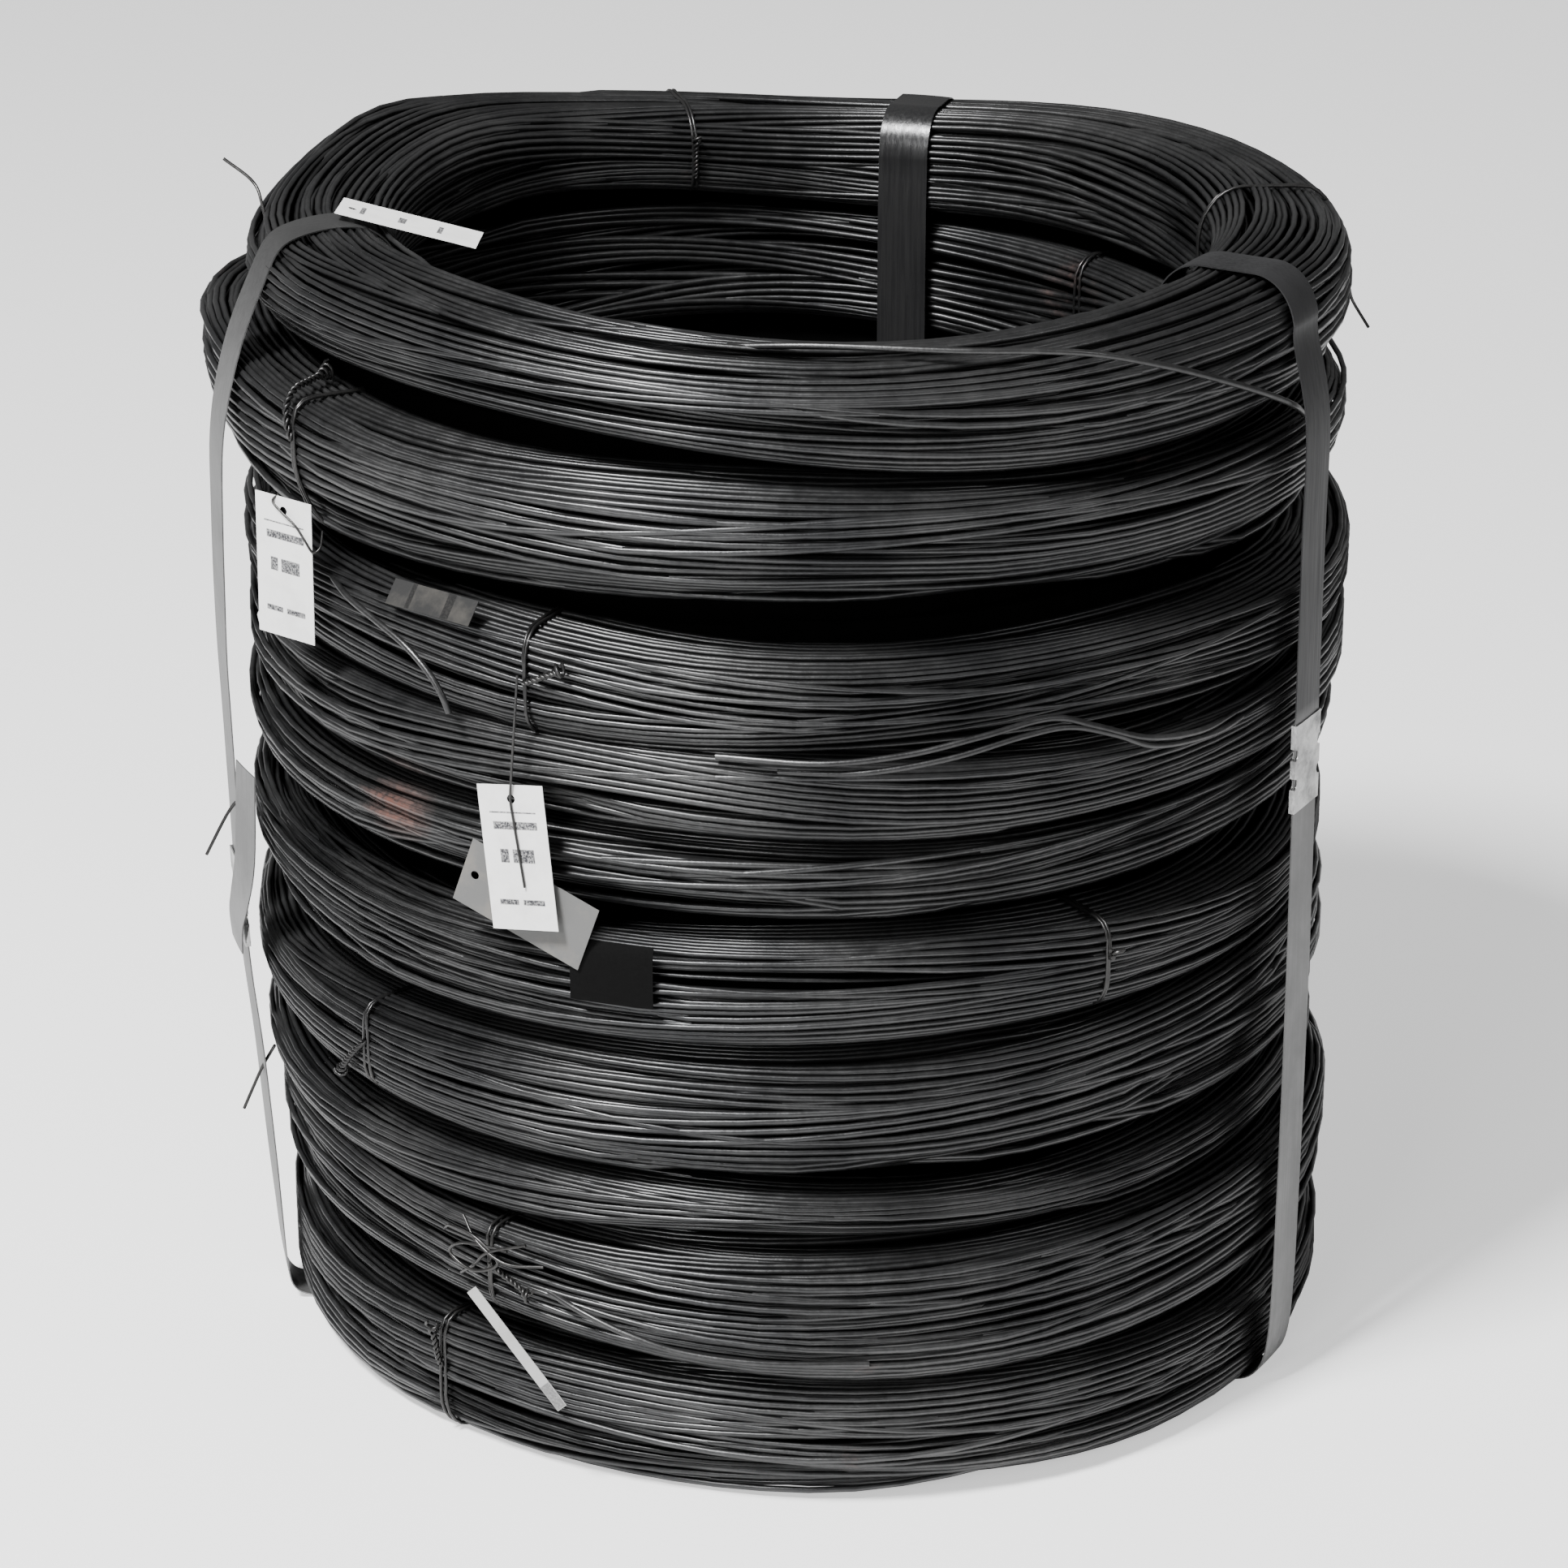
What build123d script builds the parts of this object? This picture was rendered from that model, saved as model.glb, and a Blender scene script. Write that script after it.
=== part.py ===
from build123d import *
import os
from math import cos, sin, sqrt, radians

# A strapped stack of ten coils of soft black annealed wire, in millimetres.
# The stack stands on the flat underside of its lowest coil, at Z = 0, with its bore upright.
# Azimuths are counted from +X towards +Y, and -Y is the side with the tags.

# ---------------------------------------------------------------- driving dimensions
coil_r = 330.0
bore_r = 238.0
corner_r = 20.0

# Height of each coil, from the top one down.
coil_heights = [68.0, 80.0, 74.0, 54.0, 50.0, 77.0, 81.0, 45.0, 81.0, 82.0]
# How much wider each coil is than coil_r and bore_r, and how far it sits off the stack's axis.
coil_swell = [-5.0, 6.0, 1.0, 3.0, 0.0, -1.0, 2.0, -2.0, 0.0, -2.0]
bore_swell = [-2.0, 2.0, 0.0, 3.0, -1.0, 1.0, 3.0, -2.0, 2.0, 0.0]
coil_shift_x = [6.0, -5.0, 5.0, 5.0, 0.0, 1.0, 2.0, 0.0, 11.0, 11.0]
coil_shift_y = [-4.0, 2.0, -5.0, 1.0, 5.0, -2.0, 6.0, 3.0, -4.0, 2.0]

strap_width = 31.75
strap_t = 0.79
strap_azimuths = {"left": 190.0, "right": -30.0, "back": 72.0}
seat_gap = 0.3
channel_side_gap = 0.6

# Each strap's ends lap inside a crimped seal. The loose end runs on past it, at an angle.
seal_sheet = 0.8
seal_gap = 0.1
seal_length = 54.0
seal_heights = {"left": 269.0, "right": 405.0, "back": 360.0}
notch_r = 3.5
notch_spacing = 18.0
lap_overrun = 11.0
strap_tails = {"left": (104.0, -20.0), "right": (16.0, 0.0), "back": (22.0, 0.0)}

tie_d = 2.1
tie_gap = 0.15
tie_azimuths = {
    1: [6.0, 106.0],
    2: [40.0, 216.0],
    3: [95.0, 243.0],
    4: [20.0, 150.0],
    5: [60.0, 150.0],
    6: [128.0, 303.0],
    7: [10.0, 221.0],
    8: [20.0, 100.0],
    9: [45.0, 236.0],
    10: [130.0, 228.0],
}

# Tags: which way each faces, how far it is shifted sideways, its middle's height, and its lean and roll.
tag_t = 0.4
tag_size = (41.0, 83.0)
eyelet_r = 2.5
eyelet_inset = 8.0
tag_gap = 0.4
tags = {
    "tag_left": {"faces": 234.0, "sideways": -108.0, "height": 534.0, "lean": 0.0, "roll": -1.0},
    "tag_under": {"faces": 244.0, "sideways": 0.0, "height": 372.0, "lean": 0.0, "roll": 70.0},
    "tag_front": {"faces": 244.0, "sideways": -2.0, "height": 401.0, "lean": 4.0, "roll": 8.0},
}
strip_size = (8.0, 86.0)
strip_tag = {"faces": 241.5, "sideways": 0.0, "height": 88.0, "lean": 0.0, "roll": 44.0}
groove_size = (60.0, 15.0)
groove_tag = {"azimuth": 232.5, "coil": 3, "lean": 38.0}
droop = 14.0
bore_tag_turn = -13.0

tape_t = 0.5
tape_height = 36.0
tape_azimuths = (248.3, 256.7)
tape_coil = 6
tape_below_top = 28.0

tag_wire_d = 1.4

coil_count = len(coil_heights)
stack_height = sum(coil_heights)
seal_room = seal_sheet + 2 * seal_gap

os.makedirs("parts", exist_ok=True)


def write(piece, name):
    piece.part.label = name
    export_step(piece.part, f"parts/{name}.step")


def radial_plane(azimuth, centre=(0.0, 0.0)):
    """Upright plane through an axis: its X runs outwards and its Y runs up."""
    out = (cos(radians(azimuth)), sin(radians(azimuth)), 0)
    side = (sin(radians(azimuth)), -cos(radians(azimuth)), 0)
    return Plane(origin=(centre[0], centre[1], 0), x_dir=out, z_dir=side)


class Coil:
    """Sizes of one coil, with where it lies in the stack."""

    def __init__(self, number):
        place = number - 1
        self.number = number
        self.height = coil_heights[place]
        self.top = stack_height - sum(coil_heights[:place])
        self.bottom = self.top - self.height
        self.outer = coil_r + coil_swell[place]
        self.inner = bore_r + bore_swell[place]
        self.centre = (coil_shift_x[place], coil_shift_y[place])
        self.width = self.outer - self.inner
        self.corner = min(corner_r, 0.42 * self.height, 0.42 * self.width)

    def under_strap(self, azimuth):
        """How near the stack's axis its bore comes, and how far out its skin, across a strap's width."""
        along = self.centre[0] * cos(radians(azimuth)) + self.centre[1] * sin(radians(azimuth))
        across = abs(self.centre[1] * cos(radians(azimuth)) - self.centre[0] * sin(radians(azimuth)))
        bore_edge = across + strap_width / 2
        skin_edge = max(0.0, across - strap_width / 2)
        return along + sqrt(self.inner**2 - bore_edge**2), along + sqrt(self.outer**2 - skin_edge**2)


coils = [Coil(number) for number in range(1, coil_count + 1)]
lowest = coils[-1]


# ---------------------------------------------------------------- straps
def strap_corners(azimuth):
    """Centres of the corner arcs that a strap is drawn round."""
    corners = []
    for coil in coils:
        bore, skin = coil.under_strap(azimuth)
        near = bore + corner_r
        far = skin - corner_r + seal_room
        high = coil.top - corner_r
        low = coil.bottom + corner_r
        if coil is lowest:
            low += strap_t + seat_gap
        corners += [(near, low), (near, high), (far, low), (far, high)]
    return corners


def band(azimuth, inside, thickness, width):
    """Closed band round the stack: its inner face lies that far off the corner arcs' centres."""
    with BuildPart() as loop:
        with BuildSketch(radial_plane(azimuth)):
            with BuildLine():
                Polyline(*strap_corners(azimuth))
            make_hull()
            offset(amount=inside + thickness, kind=Kind.ARC)
            offset(amount=-thickness, kind=Kind.ARC, mode=Mode.SUBTRACT)
        extrude(amount=width / 2, both=True)
    return loop


channels = []
for azimuth in strap_azimuths.values():
    channel = band(azimuth, corner_r, 4 * corner_r, strap_width + 2 * channel_side_gap)
    channels.append(channel.part)

def strap_line(azimuth, height):
    """How far out the strap's outer run is drawn at a height, and its slope there."""
    corners = strap_corners(azimuth)
    above = [corner for corner in corners if corner[1] >= height]
    below = [corner for corner in corners if corner[1] < height]
    furthest = (0.0, 0.0)
    for far, high in above:
        for near, low in below:
            slope = (far - near) / (high - low)
            furthest = max(furthest, (near + slope * (height - low), slope))
    return furthest


def strap_plane(azimuth, height):
    """Plane on the inner face of the strap's outer run: X up the strap, Z away from the coils."""
    out, slope = strap_line(azimuth, height)
    side_view = radial_plane(azimuth)
    lean = Vector(1, -slope).normalized()
    foot = Vector(out, height) + lean * (corner_r + seat_gap)
    origin = side_view.from_local_coords(foot)
    normal = side_view.from_local_coords(foot + lean) - origin
    upwards = side_view.from_local_coords(foot + Vector(slope, 1)) - origin
    return Plane(origin=origin, x_dir=upwards, z_dir=normal)


for side, azimuth in strap_azimuths.items():
    lap_plane = strap_plane(azimuth, seal_heights[side])
    tail, turn = strap_tails[side]
    strap = band(azimuth, corner_r + seat_gap, strap_t, strap_width)
    with BuildPart() as strap_with_lap:
        add(strap.part)
        with BuildSketch(lap_plane.offset(strap_t)):
            Rectangle(seal_length + 2 * lap_overrun, strap_width)
            tail_start = seal_length / 2 + abs(sin(radians(turn))) * strap_width / 2
            with Locations(Location((tail_start, 0), turn)):
                Rectangle(tail, strap_width, align=(Align.MIN, Align.CENTER))
        extrude(amount=strap_t)
    write(strap_with_lap, f"strap_{side}")

    with BuildPart() as seal:
        inside = strap_width + 2 * seal_gap
        with BuildSketch(lap_plane.offset(-seal_gap - seal_sheet)):
            Rectangle(seal_length, inside + 2 * seal_sheet)
            for edge in (-1, 1):
                with Locations((0, edge * (inside / 2 + seal_sheet))):
                    with GridLocations(notch_spacing, 0, 2, 1):
                        Circle(notch_r, mode=Mode.SUBTRACT)
        extrude(amount=2 * (strap_t + seal_gap + seal_sheet))
        with BuildSketch(lap_plane.offset(-seal_gap)):
            Rectangle(seal_length, inside)
        extrude(amount=2 * (strap_t + seal_gap), mode=Mode.SUBTRACT)
    write(seal, f"seal_{side}")


# ---------------------------------------------------------------- coils and their ties
def coil_plane(coil, azimuth):
    """Upright plane through the coil's own axis."""
    return radial_plane(azimuth, coil.centre)


def tie_loops(coil, azimuth, inset):
    """Width, height and corner of a tie's path, inset from the coil's skin."""
    return coil.width - 2 * inset, coil.height - 2 * inset, coil.corner - inset


for coil in coils:
    middle = (coil.outer + coil.inner) / 2
    level = (coil.top + coil.bottom) / 2
    groove_depth = tie_d + 2 * tie_gap
    groove_width = 2 * tie_d + 3 * tie_gap

    with BuildPart() as body:
        with BuildSketch(coil_plane(coil, 0)):
            with Locations((middle, level)):
                RectangleRounded(coil.width, coil.height, coil.corner)
        revolve(axis=Axis((coil.centre[0], coil.centre[1], 0), (0, 0, 1)))
        for azimuth in tie_azimuths[coil.number]:
            with BuildSketch(coil_plane(coil, azimuth)):
                with Locations((middle, level)):
                    Rectangle(coil.width + 10, coil.height + 10)
                    RectangleRounded(*tie_loops(coil, azimuth, groove_depth), mode=Mode.SUBTRACT)
            extrude(amount=groove_width / 2, both=True, mode=Mode.SUBTRACT)
        if coil is lowest:
            for channel in channels:
                add(channel, mode=Mode.SUBTRACT)
    write(body, f"coil_{coil.number}")

    with BuildPart() as ties:
        for azimuth in tie_azimuths[coil.number]:
            plane = coil_plane(coil, azimuth)
            for side in (-1, 1):
                loop_plane = plane.offset(side * (tie_d + tie_gap) / 2)
                wide, tall, corner = tie_loops(coil, azimuth, tie_gap + tie_d / 2)
                with BuildSketch(loop_plane, mode=Mode.PRIVATE) as loop:
                    with Locations((middle, level)):
                        RectangleRounded(wide, tall, corner)
                path = loop.sketch.face().outer_wire()
                with BuildSketch(Plane(origin=path @ 0, z_dir=path % 0)):
                    Circle(tie_d / 2)
                sweep(path=path)
    write(ties, f"coil_{coil.number}_ties")


# ---------------------------------------------------------------- tags, tape and tag wires
def skin_reach(faces, sideways, half_span, low, high):
    """How far the skins stand out towards an azimuth, over a span sideways and between two heights."""
    reach = 0.0
    for coil in coils:
        if coil.bottom < high and coil.top > low:
            along = coil.centre[0] * cos(radians(faces)) + coil.centre[1] * sin(radians(faces))
            across = coil.centre[1] * cos(radians(faces)) - coil.centre[0] * sin(radians(faces))
            off = max(0.0, abs(sideways - across) - half_span)
            reach = max(reach, along + sqrt(coil.outer**2 - off**2))
    return reach


def card_plane(place, size, layer):
    """Middle plane of a card that hangs against the stack: X to its right, Z out of its face."""
    faces = place["faces"]
    roll = radians(place["roll"])
    lean = radians(place["lean"])
    half_span = size[0] / 2 * abs(cos(roll)) + size[1] / 2 * abs(sin(roll))
    half_drop = size[0] / 2 * abs(sin(roll)) + size[1] / 2 * abs(cos(roll))
    low, high = place["height"] - half_drop, place["height"] + half_drop
    reach = skin_reach(faces, place["sideways"], half_span, low, high)
    reach += layer + half_drop * abs(sin(lean))
    out = Vector(cos(radians(faces)), sin(radians(faces)), 0)
    right = Vector(-sin(radians(faces)), cos(radians(faces)), 0)
    origin = out * reach + right * place["sideways"] + Vector(0, 0, place["height"])
    normal = out * cos(lean) + Vector(0, 0, sin(lean))
    upwards = normal.cross(right)
    return Plane(origin=origin, x_dir=right * cos(roll) + upwards * sin(roll), z_dir=normal)


def card(plane, size, eyelet=True):
    """Thin card centred on a plane, with an eyelet hole near its top."""
    with BuildPart() as sheet:
        with BuildSketch(plane):
            Rectangle(*size)
            if eyelet:
                with Locations((0, size[1] / 2 - eyelet_inset)):
                    Circle(eyelet_r, mode=Mode.SUBTRACT)
        extrude(amount=tag_t / 2, both=True)
    return sheet


hanging_layers = {"tag_left": 1, "tag_under": 1, "tag_front": 2}
card_planes = {}
for name, place in tags.items():
    layer = hanging_layers[name] * (tag_gap + tag_t)
    card_planes[name] = card_plane(place, tag_size, layer)
    write(card(card_planes[name], tag_size), name)

strip_plane = card_plane(strip_tag, strip_size, tag_gap)
write(card(strip_plane, strip_size, eyelet=False), "tag_low")

shoulder = coils[groove_tag["coil"] - 1]
lean = radians(groove_tag["lean"])
side_view = radial_plane(groove_tag["azimuth"], shoulder.centre)
lean_out = Vector(cos(lean), sin(lean))
foot = Vector(shoulder.outer - shoulder.corner, shoulder.top - shoulder.corner)
foot += lean_out * (shoulder.corner + tag_gap + tag_t / 2)
groove_origin = side_view.from_local_coords(foot)
groove_normal = side_view.from_local_coords(foot + lean_out) - groove_origin
groove_plane = Plane(origin=groove_origin, x_dir=-side_view.z_dir, z_dir=groove_normal)
write(card(groove_plane, groove_size, eyelet=False), "tag_groove")

# The tag in the bore lies on the left strap where it bends down, and droops over the edge.
bore_side = radial_plane(strap_azimuths["left"])
top_bore_corner = strap_corners(strap_azimuths["left"])[1]
dip = radians(droop)
lift = corner_r + seat_gap + strap_t + tag_gap + tag_t / 2
touch = Vector(*top_bore_corner) + Vector(-sin(dip), cos(dip)) * lift
touch_point = bore_side.from_local_coords(touch)
card_normal = bore_side.from_local_coords(touch + Vector(-sin(dip), cos(dip))) - touch_point
inwards = bore_side.from_local_coords(touch + Vector(-cos(dip), -sin(dip))) - touch_point
sideways = card_normal.cross(inwards)
bore_turn = radians(bore_tag_turn)
along_card = inwards * cos(bore_turn) + sideways * sin(bore_turn)
bore_plane = Plane(origin=touch_point, x_dir=along_card, z_dir=card_normal)
with BuildPart() as bore_card:
    with BuildSketch(bore_plane):
        with Locations((tag_size[1] * 0.28, 0)):
            Rectangle(tag_size[1], tag_size[0])
        with Locations((tag_size[1] * (0.28 - 0.5) + eyelet_inset, 0)):
            Circle(eyelet_r, mode=Mode.SUBTRACT)
    extrude(amount=tag_t / 2, both=True)
write(bore_card, "tag_bore")

taped = coils[tape_coil - 1]
taped_middle = (taped.outer + taped.inner) / 2
taped_level = (taped.top + taped.bottom) / 2
with BuildPart() as tape:
    with BuildSketch(radial_plane(tape_azimuths[0], taped.centre)):
        for grow, mode in ((tag_gap + tape_t, Mode.ADD), (tag_gap, Mode.SUBTRACT)):
            with Locations((taped_middle, taped_level)):
                size = (taped.width + 2 * grow, taped.height + 2 * grow)
                RectangleRounded(*size, taped.corner + grow, mode=mode)
        with Locations((taped.outer, taped.top - tape_below_top)):
            Rectangle(taped.corner * 2, tape_height, mode=Mode.INTERSECT)
    revolve(
        axis=Axis((taped.centre[0], taped.centre[1], 0), (0, 0, 1)),
        revolution_arc=tape_azimuths[1] - tape_azimuths[0],
    )
write(tape, "tape_patch")


def bent_wire(*points, bend):
    """Round wire along straight runs and one bend."""
    with BuildPart() as wire:
        with BuildLine() as run:
            FilletPolyline(*points, radius=bend)
        with BuildSketch(Plane(origin=run.line @ 0, z_dir=run.line % 0)):
            Circle(tag_wire_d / 2)
        sweep(path=run.line)
    return wire


# Each tag wire starts on the coil's skin, comes forward and runs down over the face of its card.
over_card = tag_t / 2 + tag_gap + tag_wire_d / 2
front = card_planes["tag_front"]
knot_height = 508.0
knot_reach = skin_reach(tags["tag_front"]["faces"], 0, 2, knot_height, knot_height + 1) + seat_gap
knot_faces = radians(tags["tag_front"]["faces"])
knot = Vector(cos(knot_faces), sin(knot_faces)) * (knot_reach + tag_wire_d / 2)
knot += Vector(0, 0, knot_height)
eyelet_over = front.from_local_coords((0, tag_size[1] / 2 - eyelet_inset, over_card))
wire_end = front.from_local_coords((3, -tag_size[1] / 5, over_card))
write(bent_wire(knot, eyelet_over, wire_end, bend=30.0), "tag_front_wire")
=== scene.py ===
import random
from math import atan2, cos, hypot, pi, radians, sin, tan

import bmesh
import bpy
import numpy as np
from mathutils import Matrix, Vector


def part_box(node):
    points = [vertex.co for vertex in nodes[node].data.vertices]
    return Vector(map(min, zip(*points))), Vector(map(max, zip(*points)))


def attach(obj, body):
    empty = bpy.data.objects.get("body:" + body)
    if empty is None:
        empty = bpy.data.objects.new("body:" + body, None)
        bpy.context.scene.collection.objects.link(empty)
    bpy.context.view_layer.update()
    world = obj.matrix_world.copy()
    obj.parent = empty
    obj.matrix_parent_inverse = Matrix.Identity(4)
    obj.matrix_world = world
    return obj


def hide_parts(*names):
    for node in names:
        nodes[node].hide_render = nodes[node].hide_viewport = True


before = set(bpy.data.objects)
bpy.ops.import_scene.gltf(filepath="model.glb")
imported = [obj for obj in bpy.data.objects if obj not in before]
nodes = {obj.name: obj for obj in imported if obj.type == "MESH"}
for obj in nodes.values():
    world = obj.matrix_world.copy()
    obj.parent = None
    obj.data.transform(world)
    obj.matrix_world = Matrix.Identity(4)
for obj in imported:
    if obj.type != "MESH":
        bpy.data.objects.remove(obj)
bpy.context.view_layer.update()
MM = 0.001

# ------------------------------------------------------------------ the ten coils
# Each coil is some hundreds of turns of soft black annealed wire, 3.76 mm thick, spooled
# wet with draw soap and annealed. The turns wander and cross at low angles in loose ribbons,
# and each coil sits askew on the next, so the seams between them run up and down.
wire_r = 1.88 * MM
stations = 72
wire_sides, under_sides = 5, 4
under_pitch = 5.5 * MM
seam_tilts = [0.0, -2.9, -1.6, -1.3, -1.0, -0.75, 1.5, -0.5, 0.3, -2.0, 0.0]
seam_rounds = [26.0, 22.0, 30.0, 15.0, 15.0, 21.0, 21.0, 20.0, 15.0, 21.0, 17.0]
seam_drops = [0.0, 0.0, 11.0, 1.5, 3.0, 10.0, 5.0, 9.0, 1.0, 2.5, 0.0]
seam_opens = [0.0, 7.0, 15.0, 1.0, 3.0, 9.0, 9.0, 9.0, 4.0, 9.0, 0.0]
bore_round = 16.0
shoulder_share, underside_share = 0.6, 1.5
core_depth = 13.5 * MM
usual_reach = 0.33
# Two coils are knocked out of round: azimuth, spread, lift, outside pushed in, bore pushed in.
knocks = {
    1: [(82, 30, -10, 20, 0), (143, 20, 11, -14, 0), (218, 24, 4, 0, 9), (284, 30, -6, 0, -9)],
    2: [(176, 16, 0, -9, 0)],
}
turn_angles = np.arange(stations) * (2 * pi / stations)
chance = random.Random(41)


def ripple(angles, reaches, draw):
    """A smooth closed wave round the coil: one reach for each number of humps."""
    wave = np.zeros_like(angles)
    for humps, reach in reaches.items():
        wave += reach * draw.uniform(0.5, 1.0) * np.sin(humps * angles + draw.uniform(0, 2 * pi))
    return wave


def drawn_waves(humps, least, most):
    """For each number of humps round a coil: how far they reach and where they start."""
    return [(h, chance.uniform(least, most) * MM, chance.uniform(0, 2 * pi)) for h in humps]


class Seam:
    """The uneven surface where one coil rests on the next."""

    def __init__(self, place):
        self.slope = tan(radians(seam_tilts[place]))
        self.drop = seam_drops[place] * MM
        self.round = seam_rounds[place] * MM
        self.open = seam_opens[place] / 2 * MM
        self.humps = drawn_waves((2, 3, 5), 0.5, 1.6)
        self.gapes = drawn_waves((1, 2, 3, 4), 1.2, 2.9)
        self.flat = place in (0, len(seam_tilts) - 1)

    def lift(self, x, y):
        if self.flat:
            return 0.0 * x
        around = np.arctan2(y, x)
        waves = sum(reach * np.sin(h * around + start) for h, reach, start in self.humps)
        return self.slope * x - self.drop + waves

    def gape(self, x, y):
        """How much wider or tighter than usual the seam's outside gapes."""
        if self.flat:
            return 0.0 * x
        around = np.arctan2(y, x)
        waves = sum(reach * np.sin(h * around + start) for h, reach, start in self.gapes)
        return waves * np.hypot(x, y) / usual_reach


seams = [Seam(place) for place in range(len(seam_tilts))]


class Lay:
    """Where a coil's turns lie: a rounded oblong outline, walked from the middle of its bore side."""

    def __init__(self, number):
        low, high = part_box(f"coil_{number}")
        self.number = number
        self.low, self.high = low[2], high[2]
        self.centre = ((low[0] + high[0]) / 2, (low[1] + high[1]) / 2)
        self.outer = (high[0] - low[0] + high[1] - low[1]) / 4
        skin = nodes[f"coil_{number}"].data.vertices
        self.inner = min(hypot(v.co.x - self.centre[0], v.co.y - self.centre[1]) for v in skin)
        self.above, self.below = seams[number - 1], seams[number]
        self.presses = [(chance.uniform(0.6, 1.5) * MM, h, chance.uniform(0, 2 * pi)) for h in (2, 3, 5)]
        top_r = self.above.round * (1.0 if number == 1 else shoulder_share)
        low_r, bore_r = self.below.round * underside_share, bore_round * MM
        room = self.high - self.low - self.above.open - self.below.open
        tight = min(1.0, 0.98 * room / (top_r + low_r))
        top_r, low_r = tight * top_r, tight * low_r
        top_z, low_z = self.high - self.above.open, self.low + self.below.open
        bore_top = 28.0 * MM if number == 1 else bore_r
        corners = [
            (self.inner + bore_r, self.low + bore_r + self.below.open, bore_r, 270),
            (self.inner + bore_top, self.high - bore_top - self.above.open, bore_top, 180),
            (self.outer - top_r, top_z - top_r, top_r, 90),
            (self.outer - low_r, low_z + low_r, low_r, 0),
        ]
        points = []
        for mid_x, mid_z, r, first in corners:
            for step in range(13):
                a = radians(first - 90 * step / 12)
                points.append((mid_x + r * cos(a), mid_z + r * sin(a), cos(a), sin(a)))
        points.append(points[0])
        table = np.array(points)
        walk = np.hypot(np.diff(table[:, 0]), np.diff(table[:, 1]))
        self.walk = np.concatenate([[0.0], np.cumsum(walk)])
        self.table = table
        self.length = self.walk[-1]
        self.marks = self.walk[[0, 12, 13, 25, 26, 38, 39, 51]]

    def section(self, along, depth):
        """Reach and height of a point that far along the outline and that deep under it."""
        along = np.mod(along, self.length)
        reach, height, out, up = (np.interp(along, self.walk, self.table[:, k]) for k in range(4))
        return reach - out * depth, height - up * depth

    def pinch(self, angle):
        """How far the outside is pressed in: coils are never quite round."""
        return sum(r * (1 - np.cos(h * (angle - a))) for r, h, a in self.presses)

    def knocked(self, angle):
        """A knocked coil's lift, and how far its outside and its bore are pushed in."""
        total = [0.0 * angle, 0.0 * angle, 0.0 * angle]
        for azimuth, spread, *amounts in knocks.get(self.number, ()):
            away = np.mod(np.degrees(angle) - azimuth + 180, 360) - 180
            swell = np.exp(-((away / spread) ** 2)) * MM
            total = [so_far + amount * swell for so_far, amount in zip(total, amounts)]
        return total

    def place(self, reach, height, angle):
        """The same point out in the stack, squeezed between the seams above and below."""
        outness = (reach - self.inner) / (self.outer - self.inner)
        raised, outside_in, bore_in = self.knocked(angle)
        reach = reach - outness * (self.pinch(angle) + outside_in) - (1 - outness) * bore_in
        x, y = reach * np.cos(angle), reach * np.sin(angle)
        share = (height - self.low) / (self.high - self.low)
        lift = share * (self.above.lift(x, y) - self.above.gape(x, y) + raised)
        lift = lift + (1 - share) * (self.below.lift(x, y) + self.below.gape(x, y))
        return self.centre[0] + x, self.centre[1] + y, height + lift

    def shows(self, along):
        """Whether a turn here can be seen, or is shut in between two coils."""
        top_in, top_out, low_out, low_in = self.marks[3], self.marks[4], self.marks[7], self.length
        if top_in + 14 * MM < along < top_out - 42 * MM:
            return self.number == 1
        if low_out + 28 * MM < along < low_in - 14 * MM:
            return self.number == len(seam_tilts) - 1
        return True


def slanted_waves(draw, humps, reaches, slants):
    """Waves that turns side by side share, each starting a little further round than the last."""
    return [(h, draw.uniform(*reaches) * MM, draw.uniform(0, 2 * pi), draw.uniform(*slants)) for h in humps]


def under_turns(lay, draw):
    """The first layer below the skin: turns side by side, drifting together."""
    count = int(lay.length / under_pitch)
    drifts = slanted_waves(draw, (1, 2, 3, 5), (1.0, 2.4), (18, 55))
    sinks = slanted_waves(draw, (2, 3, 4, 7), (0.5, 1.4), (30, 90))
    for place in range(count):
        start = (place + draw.uniform(-0.25, 0.25)) * under_pitch
        own = ripple(turn_angles, {2: 0.5 * MM, 5: 0.4 * MM, 9: 0.25 * MM}, draw)
        # The under turns are painted darker than the ribbons over them: painted shade in the layer below.
        tone_and_shade = draw.uniform(0.3, 0.7)
        if not lay.shows(start):
            continue
        along = start + own + sum(r * np.sin(h * turn_angles + p + q * start) for h, r, p, q in drifts)
        depth = 8.4 * MM + sum(r * np.sin(h * turn_angles + p + q * start) for h, r, p, q in sinks)
        yield along, depth, tone_and_shade


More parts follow.
